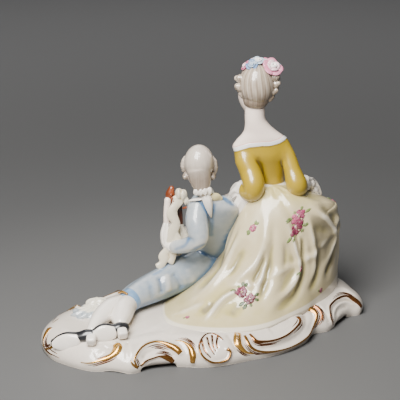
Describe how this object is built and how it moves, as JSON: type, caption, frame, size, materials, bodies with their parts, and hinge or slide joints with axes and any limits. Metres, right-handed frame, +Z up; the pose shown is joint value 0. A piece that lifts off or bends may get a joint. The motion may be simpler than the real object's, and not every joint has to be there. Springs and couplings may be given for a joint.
{
  "type": "porcelain couple figurine",
  "caption": "Glazed porcelain group of a seated lady and a reclining gentleman with a lute on a rococo scrolled base, for display.",
  "frame": {"origin": "on the flat underside, at the middle of the base", "axes": "+X along the base's length towards the lady, +Y towards the side that the couple face, +Z up"},
  "size_m": [0.2752, 0.1517, 0.2216],
  "materials": {
    "porcelain": "clear glazed porcelain, painted and gilded"
  },
  "bodies": {
    "root": {"couple_figurine": "porcelain"}
  },
  "joints": []
}
